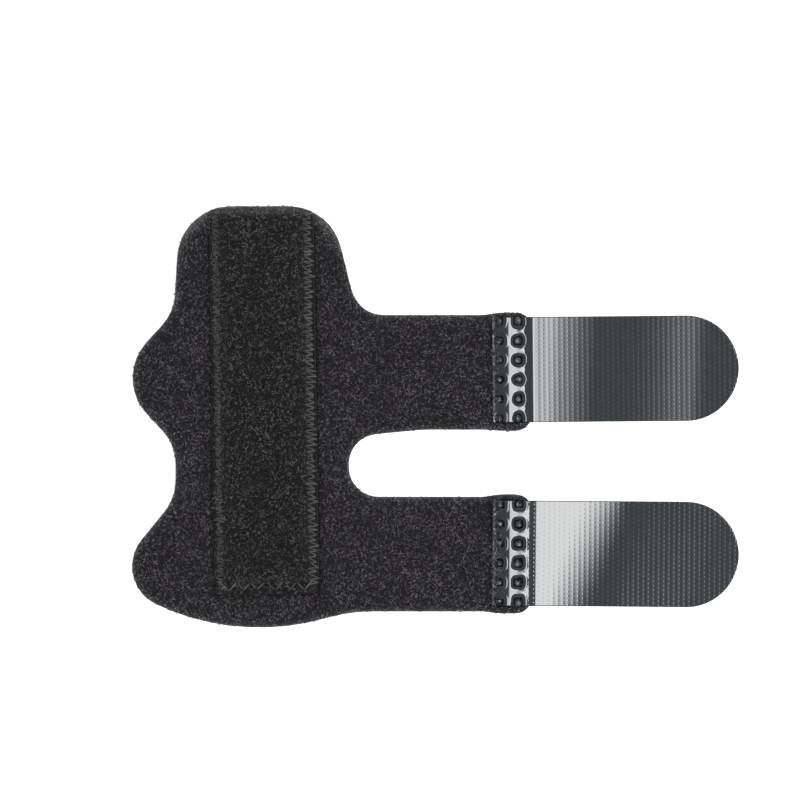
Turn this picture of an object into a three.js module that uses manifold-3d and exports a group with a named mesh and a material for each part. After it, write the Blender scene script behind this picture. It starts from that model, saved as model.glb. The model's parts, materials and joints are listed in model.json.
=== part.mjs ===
// A soft finger splint, lying flat with its pocket side up.
// One blank of foam laminate is cut as a pad with two side lobes and two straps. A sleeve of loop tape,
// sewn on along three sides, takes a stay. A tab of hook tape is welded to the end of each strap.
//
// Millimetres, +Z up. The origin is on the pad's underside, on the pocket's centre line and half way
// across the gap between the straps. The straps point along +X, the finger end along +Y.

import * as THREE from "three";
import { mergeVertices } from "three/addons/utils/BufferGeometryUtils.js";
import Module from "manifold-3d";

const wasm = await Module();
wasm.setup();

const DEGREES = Math.PI / 180;

// Pad: thickness and how far its cut edges are rounded
const padThickness = 2.5;
const edgeRound = 0.6;

// Pad outline: distances of its corners from the origin, before they are rounded
const fingerEnd = 48.8;
const fingerEndLeft = 16;
const fingerEndRight = 12.7;
const neckLeft = 17.1;
const neckRight = 17.8;
const waistReach = 16.8;
const fingerLobeReach = 28.6;
const fingerLobeAt = 16.1;
const fingerLobeHalfBase = 12.6;
const palmLobeReach = 29.7;
const palmLobeAt = 22.4;
const palmLobeBaseAt = 6.6;
const palmEnd = 34.2;
const palmEndOffset = 4.9;
const palmShoulder = 16.2;

// Pad outline: radii of the rounded corners
const fingerEndRadius = 10.3;
const neckRadius = 6.2;
const lobeRadius = 10;
const lobeBaseRadius = 9;
const palmLobeRadius = 8;
const palmEndRadius = 46;
const palmShoulderRadius = 30;

// Straps
const strapReach = 50.8;
const strapWidth = 21.8;
const strapGap = 12.7;
const strapEndRadius = 2.9;
const gapRoot = 16.1;
const gapRootRadius = 5.6;
const gapTaper = 1.35;
const gapTaperLength = 14;
const gapTaperRadius = 20;

// Stay pocket: a sleeve of loop tape
const loopTapeWidth = 20;
const loopTapeThickness = 1;
const pocketLength = 72.6;
const pocketMouthInset = 0.9;
const pocketTilt = 0.86 * DEGREES;
const stayThickness = 1.2;
const seamInset = 1.15;
const seamWidth = 1.9;
const seamSink = 0.4;
const pocketShoulder = 1.5;

// Hook tabs: moulded film that stands on its hooks
const hookTapeWidth = 20;
const filmThickness = 0.45;
const hookHeight = 0.6;
const tabLength = 46.7;
const tabSplay = 0.5 * DEGREES;
const tabCornerRadius = 0.6;

// Welds between the tabs and the straps
const weldLength = 7.4;
const weldLift = 0.25;
const weldSlope = 1.6;
const pitRows = 6;
const pitColumns = 2;
const pitRowPitch = 3.68;
const pitColumnPitch = 3.55;
const pitRadius = 1.35;
const pitFloorRadius = 0.9;
const pitDepth = 0.95;
const pitWall = 0.22;
const pitSides = 10;

// Room between two pieces that meet
const fitGap = 0.3;

// How far a facet of a rounded outline may lie inside its arc
const chordTolerance = 0.04;

// How the tape comes down from the weld to lie on its hooks: along counts from the weld's end to the
// tip, lift from the lying height to the weld's
const tapeFall = [
  { along: 0, lift: 1 },
  { along: 0.015, lift: 0.93 },
  { along: 0.04, lift: 0.67 },
  { along: 0.08, lift: 0.48 },
  { along: 0.15, lift: 0.29 },
  { along: 0.24, lift: 0.13 },
  { along: 0.36, lift: 0.03 },
  { along: 0.5, lift: 0 },
  { along: 0.78, lift: 0.05 },
  { along: 1, lift: 0.02 },
];

// The two straps: which side of the gap, how far the tape sits off the strap's middle, and how far the
// weld squeezes the fabric out past the strap's edges
const straps = [
  { name: "upper_hook_tab", side: 1, tapeOffset: 0.45, outerFlare: 0.5, innerFlare: 0.2 },
  { name: "lower_hook_tab", side: -1, tapeOffset: 0.25, outerFlare: 0.4, innerFlare: 0.5 },
];

const strapInner = strapGap / 2;
const strapOuter = strapInner + strapWidth;
const strapMiddle = strapInner + strapWidth / 2;
const weldStart = strapReach - weldLength;

// Solids and meshes

function solidOf(geometry, matrix = new THREE.Matrix4()) {
  const bare = geometry.clone().applyMatrix4(matrix);
  bare.deleteAttribute("normal");
  bare.deleteAttribute("uv");
  const merged = mergeVertices(bare, 1e-5);
  return new wasm.Manifold(new wasm.Mesh({
    numProp: 3,
    vertProperties: new Float32Array(merged.attributes.position.array),
    triVerts: new Uint32Array(merged.index.array),
  }));
}

function meshOf(name, solid, material) {
  const { vertProperties, triVerts } = solid.getMesh();
  const indexed = new THREE.BufferGeometry();
  indexed.setAttribute("position", new THREE.BufferAttribute(new Float32Array(vertProperties), 3));
  indexed.setIndex(new THREE.BufferAttribute(new Uint32Array(triVerts), 1));
  const geometry = indexed.toNonIndexed();
  geometry.computeVertexNormals();
  const mesh = new THREE.Mesh(geometry, material);
  mesh.name = name;
  return mesh;
}

// A closed shape through corners, each rounded by its radius. Two neighbours whose roundings together
// need more than the side between them share it.
function roundedShape(corners) {
  const count = corners.length;
  const places = corners.map(({ x, y }) => new THREE.Vector2(x, y));
  const turns = places.map((here, i) => {
    const back = places.at(i - 1).clone().sub(here).normalize();
    const ahead = places[(i + 1) % count].clone().sub(here).normalize();
    const half = Math.acos(back.dot(ahead)) / 2;
    return { back, ahead, half, wanted: corners[i].radius / Math.tan(half) };
  });
  const fits = places.map((here, i) => {
    const next = (i + 1) % count;
    return here.distanceTo(places[next]) / (turns[i].wanted + turns[next].wanted);
  });
  const points = turns.flatMap(({ back, ahead, half, wanted }, i) => {
    const reach = wanted * Math.min(1, fits.at(i - 1), fits[i]);
    const radius = reach * Math.tan(half);
    const middle = back.clone().add(ahead).normalize().multiplyScalar(radius / Math.sin(half));
    const centre = middle.add(places[i]);
    const start = back.clone().multiplyScalar(reach).add(places[i]);
    const turn = Math.sign(ahead.cross(back)) * (Math.PI - 2 * half);
    const step = 2 * Math.acos(1 - chordTolerance / radius);
    const steps = Math.max(1, Math.round(Math.abs(turn) / step));
    return Array.from({ length: steps + 1 }, (_, k) => start.clone().rotateAround(centre, (turn * k) / steps));
  });
  return new THREE.Shape(points);
}

// A slab on a grid of stations across and along, between two surfaces
function slab(across, along, bottom, top) {
  const columns = across.length - 1;
  const rows = along.length - 1;
  const box = new THREE.BoxGeometry(columns, rows, 1, columns, rows, 1);
  box.translate(columns / 2, rows / 2, 0);
  const place = box.attributes.position;
  for (let i = 0; i < place.count; i++) {
    const u = across[Math.round(place.getX(i))];
    const v = along[Math.round(place.getY(i))];
    place.setXYZ(i, u, v, place.getZ(i) > 0 ? top(u, v) : bottom(u, v));
  }
  return box;
}

// A level extrusion of a plan shape from one height to another
function plate(shape, low, high) {
  const extruded = new THREE.ExtrudeGeometry(shape, { depth: high - low, bevelEnabled: false });
  return extruded.translate(0, 0, low);
}

// A profile of points x, z swept across y, centred on y = 0
function swept(profile, width) {
  const geometry = new THREE.ExtrudeGeometry(new THREE.Shape(profile), { depth: width, bevelEnabled: false });
  return geometry.rotateX(90 * DEGREES).translate(0, width / 2, 0);
}

// Pad

// The corners of a strap's end, anticlockwise from its lower edge round to its upper edge
function strapEndCorners({ side, outerFlare, innerFlare }) {
  const flareStart = weldStart - weldSlope;
  const flareFull = weldStart + pitRadius;
  const inner = { x: flareStart, y: side * strapInner, radius: 2 * weldSlope };
  const innerFull = { x: flareFull, y: side * (strapInner - innerFlare), radius: weldSlope };
  const innerEnd = { x: strapReach, y: side * (strapInner - innerFlare), radius: strapEndRadius };
  const outerEnd = { x: strapReach, y: side * (strapOuter + outerFlare), radius: strapEndRadius };
  const outerFull = { x: flareFull, y: side * (strapOuter + outerFlare), radius: weldSlope };
  const outer = { x: flareStart, y: side * strapOuter, radius: 2 * weldSlope };
  const outwards = [inner, innerFull, innerEnd, outerEnd, outerFull, outer];
  return side > 0 ? outwards : outwards.reverse();
}

function padOutline() {
  const [upperStrap, lowerStrap] = straps;
  const fingerLobeTop = fingerLobeAt + fingerLobeHalfBase;
  const fingerLobeBottom = fingerLobeAt - fingerLobeHalfBase;
  return roundedShape([
    { x: neckRight, y: strapOuter, radius: neckRadius },
    { x: fingerEndRight, y: fingerEnd, radius: fingerEndRadius },
    { x: -fingerEndLeft, y: fingerEnd, radius: fingerEndRadius },
    { x: -neckLeft, y: fingerLobeTop, radius: lobeBaseRadius },
    { x: -fingerLobeReach, y: fingerLobeAt, radius: lobeRadius },
    { x: -waistReach, y: fingerLobeBottom, radius: lobeBaseRadius },
    { x: -waistReach, y: -palmLobeBaseAt, radius: lobeBaseRadius },
    { x: -palmLobeReach, y: -palmLobeAt, radius: palmLobeRadius },
    { x: -palmEndOffset, y: -palmEnd, radius: palmEndRadius },
    { x: palmShoulder, y: -strapOuter, radius: palmShoulderRadius },
    ...strapEndCorners(lowerStrap),
    { x: gapRoot, y: -strapInner, radius: gapRootRadius },
    { x: gapRoot, y: strapInner - gapTaper, radius: gapRootRadius },
    { x: gapRoot + gapTaperLength, y: strapInner, radius: gapTaperRadius },
    ...strapEndCorners(upperStrap),
  ]);
}

function padBlank() {
  const blank = new THREE.ExtrudeGeometry(padOutline(), {
    depth: padThickness - 2 * edgeRound,
    bevelSize: edgeRound,
    bevelThickness: edgeRound,
    bevelOffset: -edgeRound,
    bevelSegments: 2,
  });
  return solidOf(blank.translate(0, 0, edgeRound));
}

// Stay pocket

const pocketTop = fingerEnd - pocketMouthInset;
const pocketPlace = new THREE.Matrix4()
  .makeRotationZ(pocketTilt)
  .setPosition(0, pocketTop - pocketLength / 2, 0);
const seamInner = seamInset + seamWidth / 2;
const hollowHalfWidth = loopTapeWidth / 2 - seamInner;
const hollowBottom = seamInner - pocketLength / 2;

// The pad sinks along the seam, under three edges of the tape
function seamChannel() {
  const outside = loopTapeWidth / 2 + fitGap;
  const inside = hollowHalfWidth - pocketShoulder / 2;
  const bottom = -pocketLength / 2 - fitGap;
  const insideBottom = hollowBottom + pocketShoulder / 2;
  const top = pocketLength / 2 + pocketMouthInset + fitGap;
  const channel = new THREE.Shape([
    new THREE.Vector2(-outside, bottom),
    new THREE.Vector2(outside, bottom),
    new THREE.Vector2(outside, top),
    new THREE.Vector2(inside, top),
    new THREE.Vector2(inside, insideBottom),
    new THREE.Vector2(-inside, insideBottom),
    new THREE.Vector2(-inside, top),
    new THREE.Vector2(-outside, top),
  ]);
  return solidOf(plate(channel, padThickness - seamSink, 2 * padThickness), pocketPlace);
}

// How far the tape is lifted off the seam, from 0 at the seam to 1 over the stay
function pocketLift(u, v) {
  const fromSide = (hollowHalfWidth - Math.abs(u)) / pocketShoulder;
  const fromBottom = (v - hollowBottom) / pocketShoulder;
  return THREE.MathUtils.smoothstep(Math.min(fromSide, fromBottom), 0, 1);
}

function stayPocket() {
  const shoulder = [0, 0.25, 0.5, 0.75, 1].map((share) => share * pocketShoulder);
  const right = [...shoulder.map((step) => hollowHalfWidth - pocketShoulder + step), loopTapeWidth / 2];
  const across = [...right.map((u) => -u).reverse(), 0, ...right];
  const along = [-pocketLength / 2, ...shoulder.map((step) => hollowBottom + step), 0, pocketLength / 2];
  const seat = padThickness - seamSink + fitGap;
  const rise = padThickness + stayThickness - seat;
  const underside = (u, v) => seat + rise * pocketLift(u, v);
  const face = (u, v) => underside(u, v) + loopTapeThickness;
  return solidOf(slab(across, along, underside, face));
}

// Hook tabs. Each is made in its own frame: x = 0 at the start of the weld, along the tape's centre line

const lyingHeight = hookHeight + filmThickness;
const weldHeight = padThickness + weldLift;
const weldEnd = weldLength - weldSlope;

// The film's upper face from the start of the weld to the tip
function filmLine() {
  const free = tabLength - weldEnd;
  const fall = tapeFall.map(({ along, lift }) => new THREE.Vector2(
    weldEnd + along * free,
    lyingHeight + lift * (weldHeight - lyingHeight),
  ));
  const curve = new THREE.SplineCurve(fall);
  return [new THREE.Vector2(0, weldHeight), ...curve.getPoints(2 * (fall.length - 1))];
}

function lowered(line, depth) {
  return line.map((point) => new THREE.Vector2(point.x, point.y - depth));
}

function pitCentres() {
  const centres = [];
  for (let column = 0; column < pitColumns; column++) {
    for (let row = 0; row < pitRows; row++) {
      centres.push(new THREE.Vector2(
        pitRadius + column * pitColumnPitch,
        (row - (pitRows - 1) / 2) * pitRowPitch,
      ));
    }
  }
  return centres;
}

// Cones from above the film down to the pits' floors, each grown by a margin
function pitCones(margin) {
  const depth = pitDepth + margin;
  const above = 1;
  const slope = (pitRadius - pitFloorRadius) / pitDepth;
  const topRadius = pitRadius + margin + slope * above;
  const cones = pitCentres().map(({ x, y }) => {
    const cone = new THREE.CylinderGeometry(topRadius, pitFloorRadius + margin, depth + above, pitSides);
    cone.rotateX(90 * DEGREES);
    return solidOf(cone.translate(x, y, weldHeight + above - (depth + above) / 2));
  });
  return wasm.Manifold.union(cones);
}

function hookTab() {
  const line = filmLine();
  const strip = solidOf(swept([...lowered(line, filmThickness), ...line.slice().reverse()], hookTapeWidth));
  const half = hookTapeWidth / 2;
  const plan = roundedShape([
    { x: 0, y: -half, radius: tabCornerRadius },
    { x: tabLength, y: -half, radius: half },
    { x: tabLength, y: half, radius: half },
    { x: 0, y: half, radius: tabCornerRadius },
  ]);
  const film = strip.intersect(solidOf(plate(plan, 0, 2 * weldHeight)));
  const dimples = pitCones(pitWall).intersect(solidOf(plate(plan, 0, weldHeight - filmThickness / 2)));
  return film.add(dimples).subtract(pitCones(0));
}

// What the weld presses out of the strap: the room over the tape's seat, and a hole round each dimple
function weldRoom() {
  const line = lowered(filmLine(), filmThickness + fitGap);
  const ceiling = 2 * padThickness - line[0].y;
  const past = line.filter((point) => point.x < weldLength + weldSlope);
  const profile = [
    new THREE.Vector2(-2 * weldSlope, ceiling),
    ...past,
    new THREE.Vector2(past.at(-1).x, ceiling),
  ];
  const room = solidOf(swept(profile, strapWidth + strapGap));
  return room.add(pitCones(pitWall + fitGap));
}

function tabPlace({ side, tapeOffset }) {
  return new THREE.Matrix4()
    .makeRotationZ(side * tabSplay)
    .setPosition(weldStart, side * strapMiddle + tapeOffset, 0);
}

// Materials

const laminate = new THREE.MeshStandardMaterial({ color: "#302f31", roughness: 0.95, metalness: 0 });
const loopTape = new THREE.MeshStandardMaterial({ color: "#292929", roughness: 0.95, metalness: 0 });
const hookTape = new THREE.MeshStandardMaterial({ color: "#2e3438", roughness: 0.25, metalness: 0 });

// Assembly

const splint = new THREE.Group();

const cuts = [seamChannel(), ...straps.map((strap) => weldRoom().transform(tabPlace(strap).elements))];
splint.add(meshOf("body_pad", padBlank().subtract(wasm.Manifold.union(cuts)), laminate));

const pocket = meshOf("stay_pocket", stayPocket(), loopTape);
pocket.applyMatrix4(pocketPlace);
splint.add(pocket);

for (const strap of straps) {
  const tab = meshOf(strap.name, hookTab(), hookTape);
  tab.applyMatrix4(tabPlace(strap));
  splint.add(tab);
}

export default splint;
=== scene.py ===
"""Looks for a soft finger splint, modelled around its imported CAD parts.

The pad, the stay pocket and the two hook tabs stand in for their CAD solids. Stitches, pile and hooks
are added to them. Lengths are in metres, in the frame of the CAD model.
"""

import json
import math
from collections import namedtuple
from functools import partial, partialmethod

import bpy
import numpy as np
from mathutils import Matrix, Vector
from mathutils.kdtree import KDTree

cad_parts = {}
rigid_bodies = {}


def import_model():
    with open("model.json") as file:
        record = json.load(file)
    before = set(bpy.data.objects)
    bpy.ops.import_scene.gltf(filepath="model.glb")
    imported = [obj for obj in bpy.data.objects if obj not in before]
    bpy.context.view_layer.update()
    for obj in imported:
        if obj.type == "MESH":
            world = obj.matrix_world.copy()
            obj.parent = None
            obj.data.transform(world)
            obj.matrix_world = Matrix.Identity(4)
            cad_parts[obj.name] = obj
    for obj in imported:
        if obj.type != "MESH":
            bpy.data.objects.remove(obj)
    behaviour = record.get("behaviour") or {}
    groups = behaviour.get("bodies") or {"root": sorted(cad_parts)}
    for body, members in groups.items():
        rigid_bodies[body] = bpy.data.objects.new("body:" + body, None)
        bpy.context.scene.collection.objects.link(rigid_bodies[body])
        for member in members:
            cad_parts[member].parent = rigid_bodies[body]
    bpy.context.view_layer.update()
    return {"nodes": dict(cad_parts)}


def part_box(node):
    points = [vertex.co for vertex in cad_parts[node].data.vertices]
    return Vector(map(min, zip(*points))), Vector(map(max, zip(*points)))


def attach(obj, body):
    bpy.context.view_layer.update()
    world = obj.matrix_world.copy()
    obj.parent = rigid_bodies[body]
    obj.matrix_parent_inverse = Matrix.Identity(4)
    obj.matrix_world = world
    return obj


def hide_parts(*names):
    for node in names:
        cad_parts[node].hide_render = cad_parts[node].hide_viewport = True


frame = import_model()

bl_info = {
    "name": "Finger Splint",
    "version": (1, 0, 0),
    "blender": (4, 5, 0),
    "location": "3D View > Sidebar > Splint",
    "description": "Dresses a soft finger splint with its cloth, seams, pile and hook tabs",
    "category": "Object",
}

MM = 0.001
BODY = "root"


# Places that the frame gives

TAPE_WIDTH = 20 * MM
FILM_THICKNESS = 0.45 * MM
TAB_SPLAY = math.radians(0.5)
POCKET_TILT = math.radians(0.86)
PAD_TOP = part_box("body_pad")[1].z


def pocket_frame():
    """The pocket's centre, and half its length along its own tilted centre line."""
    low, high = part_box("stay_pocket")
    along = high.y - low.y - TAPE_WIDTH * math.sin(POCKET_TILT)
    return (low + high) / 2, along / math.cos(POCKET_TILT) / 2


# A tab's CAD node, its splay, its length and the middle of its welded end
TabFrame = namedtuple("TabFrame", "node splay length start")


def tab_frames():
    frames = {}
    for side, name in ((1, "upper"), (-1, "lower")):
        low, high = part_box(f"{name}_hook_tab")
        half = TAPE_WIDTH / 2
        middle = low.y + half if side > 0 else high.y - half
        start = Vector((low.x, middle, 0))
        frames[name] = TabFrame(f"{name}_hook_tab", side * TAB_SPLAY, high.x - low.x, start)
    return frames


POCKET_CENTRE, POCKET_HALF_LENGTH = pocket_frame()
TABS = tab_frames()


# What a user would change


def length(name, description, default):
    return bpy.props.FloatProperty(name=name, description=description, default=default, unit="LENGTH")


def amount(name, description, default):
    return bpy.props.FloatProperty(name=name, description=description, default=default)


def colour(name, description, default):
    return bpy.props.FloatVectorProperty(
        name=name, description=description, default=default, subtype="COLOR", size=3, min=0, max=1
    )


class PadSettings(bpy.types.PropertyGroup):
    cell: length("Cell", "Size of the pad's mesh cells", 0.48 * MM)
    seam_dip: length("Seam dip", "How far the pad is drawn down beside the pocket's seam", 0.45 * MM)
    seam_reach: length("Seam reach", "How far out from the tape the dip fades", 1.3 * MM)
    swell: length("Swell", "Height of the foam's slow unevenness", 0.09 * MM)
    swell_size: length("Swell size", "Width of the foam's slow unevenness", 9 * MM)
    cloth: colour("Cloth", "Ground of the brushed loop cloth", (0.0055, 0.0046, 0.0056))
    foam: colour("Foam", "Cut edge of the foam", (0.034, 0.029, 0.026))
    # Rim: a painted highlight, cloth made lighter along the rounded cut edge where it catches the light
    rim: colour("Rim", "Cloth brushed up along the cut edge", (0.062, 0.060, 0.062))
    rim_highlight_reach: length("Rim reach", "How far in from the cut edge the cloth is lighter", 0.75 * MM)
    finger_rim_highlight_reach: length("Finger rim reach", "The same along the finger end", 1.5 * MM)


class PocketSettings(bpy.types.PropertyGroup):
    cell: length("Cell", "Size of the pocket's mesh cells", 0.4 * MM)
    width: length("Width", "Width of the tape in plan, drawn in by its bulge over the stay", 19.4 * MM)
    corner: length("Corner", "Radius of the tape's corners", 0.9 * MM)
    thickness: length("Thickness", "Thickness of the loop tape", 1.0 * MM)
    seam_height: length("Seam height", "Height of the tape's upper face along the seam", 3.4 * MM)
    rise: length("Rise", "How far the tape is lifted over the stay's room", 1.3 * MM)
    shoulder: length("Shoulder", "Width over which the tape rises", 1.6 * MM)
    ground: colour("Ground", "Ground weave of the loop tape", (0.0034, 0.0034, 0.0036))
    selvedge: colour("Selvedge", "Flat woven edges of the loop tape", (0.013, 0.013, 0.0138))


class SeamSettings(bpy.types.PropertyGroup):
    inset: length("Inset", "Seam's middle from the tape's edge", 0.95 * MM)
    end_inset: length("End inset", "Seam's middle from the tape's lower end", 1.45 * MM)
    width: length("Width", "Width of the zigzag along the sides", 1.9 * MM)
    end_width: length("End width", "Width of the zigzag across the end", 1.8 * MM)
    pitch: length("Pitch", "Length of one zigzag along the sides", 1.0 * MM)
    end_pitch: length("End pitch", "Length of one zigzag across the end", 2.9 * MM)
    thread_radius: length("Thread radius", "Radius of the sewing thread", 0.14 * MM)
    sink: length("Sink", "How far the stitches draw the tape down", 0.3 * MM)
    stray: length("Stray", "How far the needle's holes stray", 0.17 * MM)
    seed: bpy.props.IntProperty(name="Seed", description="Seed of the strayed holes", default=4)
    thread: colour("Thread", "Sewing thread", (0.085, 0.085, 0.089))


class TabSettings(bpy.types.PropertyGroup):
    seat_length: length("Seat length", "Length of tape that is welded to the strap", 5.8 * MM)
    lying_height: length("Lying height", "Upper face of the film where it lies on its hooks", 0.94 * MM)
    column_pitch: length("Column pitch", "Distance between columns of hooks", 0.963 * MM)
    row_pitch: length("Row pitch", "Distance between hooks in a column", 0.846 * MM)
    dimple_depth: length("Dimple depth", "Depth of the sink mark behind each hook", 0.0045 * MM)
    dimple_radius: length("Dimple radius", "Radius of the sink mark behind each hook", 0.3 * MM)
    ridge_height: length("Ridge height", "Height of the ridges between columns of hooks", 0.0022 * MM)
    pit_radius: length("Pit radius", "Radius of a weld pit at its rim", 1.35 * MM)
    pit_depth: length("Pit depth", "Depth of a weld pit", 1.1 * MM)
    pit_rim: length("Pit rim", "Height of the ring of film pushed up around a pit", 0.042 * MM)
    pit_column_pitch: length("Pit column pitch", "Distance between the two columns of pits", 3.55 * MM)
    pit_row_pitch: length("Pit row pitch", "Distance between pits in a column", 3.68 * MM)
    hook_height: length("Hook height", "Height of the hooks", 0.57 * MM)
    pressed: colour("Pressed film", "Film roughened by the cloth in the weld pits", (0.085, 0.085, 0.086))
    film: colour("Film", "Moulded film", (0.0022, 0.0050, 0.0072))


class PileSettings(bpy.types.PropertyGroup):
    seed: bpy.props.IntProperty(name="Seed", description="Seed of the pile's random places", default=7)
    pad_density: amount("Pad density", "Loops on a square mm of the pad", 9.4)
    pocket_density: amount("Pocket density", "Loops on a square mm of the pocket", 11.0)
    fibre: length("Fibre", "Radius of a loop's yarn on the pad", 0.055 * MM)
    span: length("Span", "Distance between a loop's feet on the pad", 0.55 * MM)
    pocket_fibre: length("Pocket fibre", "Radius of a loop's yarn on the pocket", 0.05 * MM)
    pocket_span: length("Pocket span", "Distance between a loop's feet on the pocket", 0.5 * MM)
    # Rim: a painted highlight on the loops along the pad's rounded cut edge
    rim: amount("Rim", "How much lighter loops are at the pad's cut edge", 0.4)
    light: colour("Light", "Lighter yarn", (0.175, 0.164, 0.173))
    dark: colour("Dark", "Darker yarn", (0.009, 0.008, 0.009))
    pocket_light: colour("Pocket light", "Lighter yarn on the pocket", (0.170, 0.170, 0.173))


class StageSettings(bpy.types.PropertyGroup):
    view_width: length("View width", "Width of the floor that the picture takes in", 152 * MM)
    camera_height: length("Camera height", "Height of the camera above the floor", 1.1)
    daylight: amount("Daylight", "Strength of the even light", 1.0)
    softbox: amount("Softbox", "Radiance of the softbox", 15.8)
    glow: amount("Glow", "Strength of the floor's own light", 0.6)
    floor: colour("Floor", "Pale floor", (0.9, 0.9, 0.9))


SETTINGS = (PadSettings, PocketSettings, SeamSettings, TabSettings, PileSettings, StageSettings)


def kind_of(group):
    """The short name of a group of settings, such as pad for PadSettings."""
    return group.__name__.removesuffix("Settings").lower()


def settings(kind):
    """The scene's settings of one kind."""
    return getattr(bpy.context.scene, f"splint_{kind}")


# Shader graphs


class Socket:
    """A node's output. + - * / and ** on it add Math nodes."""

    def __init__(self, graph, output):
        self.graph = graph
        self.output = output

    def math(self, operation, *others):
        values = dict(enumerate((self, *others)))
        return self.graph.node("Math", {"operation": operation}, values)

    def __rsub__(self, other):
        return self.graph.node("Math", {"operation": "SUBTRACT"}, {0: other, 1: self})

    __add__ = __radd__ = partialmethod(math, "ADD")
    __sub__ = partialmethod(math, "SUBTRACT")
    __mul__ = __rmul__ = partialmethod(math, "MULTIPLY")
    __truediv__ = partialmethod(math, "DIVIDE")
    __pow__ = partialmethod(math, "POWER")


class Graph:
    """A material made of nodes around one Principled shader."""

    def __init__(self, name, **fixed):
        self.material = bpy.data.materials.new(name)
        self.material.use_nodes = True
        self.tree = self.material.node_tree
        self.tree.nodes.clear()
        self.surface = self.tree.nodes.new("ShaderNodeBsdfPrincipled")
        output = self.tree.nodes.new("ShaderNodeOutputMaterial")
        self.tree.links.new(self.surface.outputs["BSDF"], output.inputs["Surface"])
        self.feed(self.surface, fixed)
        self.place = self.node("TexCoord", out="Object")

    def feed(self, node, values):
        """Sets a node's sockets to numbers or colours, or links them."""
        for key, value in values.items():
            name = key.replace("_", " ").title().replace("Ior", "IOR") if isinstance(key, str) else key
            socket = node.inputs[name]
            if isinstance(value, Socket):
                self.tree.links.new(value.output, socket)
            elif hasattr(value, "__len__") and len(value) == 3 and socket.type == "RGBA":
                socket.default_value = (*value, 1)
            else:
                socket.default_value = value

    def node(self, kind, given=None, values=None, out=0):
        """Adds a node, makes its settings, fills its sockets and returns one of its outputs."""
        made = self.tree.nodes.new("ShaderNode" + kind)
        for key, value in (given or {}).items():
            if key == "stops":
                self.place_stops(made.color_ramp, value)
            else:
                setattr(made, key, value)
        self.feed(made, values or {})
        return Socket(self, made.outputs[out])

    def place_stops(self, ramp, stops):
        while len(ramp.elements) < len(stops):
            ramp.elements.new(0.5)
        for element, (at, grey) in zip(ramp.elements, stops):
            element.position = at
            element.color = (grey, grey, grey, 1)

    def noise(self, size, detail, roughness, at=None):
        values = {"Vector": at or self.place, "Scale": 1 / size, "Detail": detail, "Roughness": roughness}
        return self.node("TexNoise", values=values, out="Fac")

    def cells(self, size):
        return self.node("TexVoronoi", values={"Vector": self.place, "Scale": 1 / size}, out="Distance")

    def turned(self, scale=(1, 1, 1), angle=0.0, centre=(0, 0, 0), kind="POINT"):
        """Object coordinates seen from a turned and stretched frame."""
        values = {"Location": centre, "Rotation": (0, 0, angle), "Scale": scale}
        return self.node("Mapping", {"vector_type": kind}, {"Vector": self.place, **values})

    def axis(self, vector, name):
        return self.node("SeparateXYZ", values={"Vector": vector}, out=name)

    def ramp(self, value, *stops):
        return self.node("ValToRGB", {"stops": stops}, {"Fac": value})

    def mix(self, factor, first, second):
        values = {0: factor, 6: first, 7: second}
        return self.node("Mix", {"data_type": "RGBA"}, values, out=2)

    def attribute(self, name):
        return self.node("Attribute", {"attribute_name": name}, out="Fac")

    def bump(self, height, depth, strength=1.0):
        values = {"Height": height, "Distance": depth, "Strength": strength}
        return self.node("Bump", values=values)

    def finish(self, **values):
        self.feed(self.surface, values)
        return self.material


def scaled(share, shade):
    """A colour made lighter or darker."""
    return tuple(share * part for part in shade)


def cloth_material(pad):
    """Brushed loop cloth over foam, with a painted highlight near the cut edge, and the foam's open cells on
    that edge.
    """
    g = Graph("laminate_cloth", Specular_IOR_Level=0.18, Sheen_Weight=0.06, Sheen_Roughness=0.5)
    grain = g.noise(0.32 * MM, 3, 0.62)
    curls = g.cells(0.38 * MM)
    streaks = g.noise(0.5 * MM, 2, 0.5, at=g.turned((1, 0.45, 1)))
    height = g.axis(g.place, "Z")
    facing = g.node("NewGeometry", out="Normal")
    upright = g.axis(facing, "Z").math("ABSOLUTE")
    side = g.ramp(upright, (0.35, 1.0), (0.6, 0.0))
    inside = g.ramp(height / PAD_TOP, (0.18, 0.0), (0.26, 1.0), (0.74, 1.0), (0.82, 0.0))
    edge = side * inside
    pores = g.ramp(g.cells(0.22 * MM), (0.1, 0.2), (0.5, 1.0))
    light = g.ramp(grain * 0.6 + streaks * 0.4, (0.42, 0.0), (0.62, 1.0))
    cloth = g.mix(light, pad.cloth, scaled(2.6, pad.cloth))
    foam = g.mix(pores, scaled(0.35, pad.foam), pad.foam)
    # Painted highlight along the cut edge, by the rim attribute
    cloth = g.mix(g.attribute("rim") * (0.4 + 0.5 * light), cloth, pad.rim)
    nap = g.bump(grain + (1 - curls), 0.22 * MM, 0.8)
    return g.finish(Base_Color=g.mix(edge, cloth, foam), Roughness=0.95 - 0.2 * light, Normal=nap)


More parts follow.
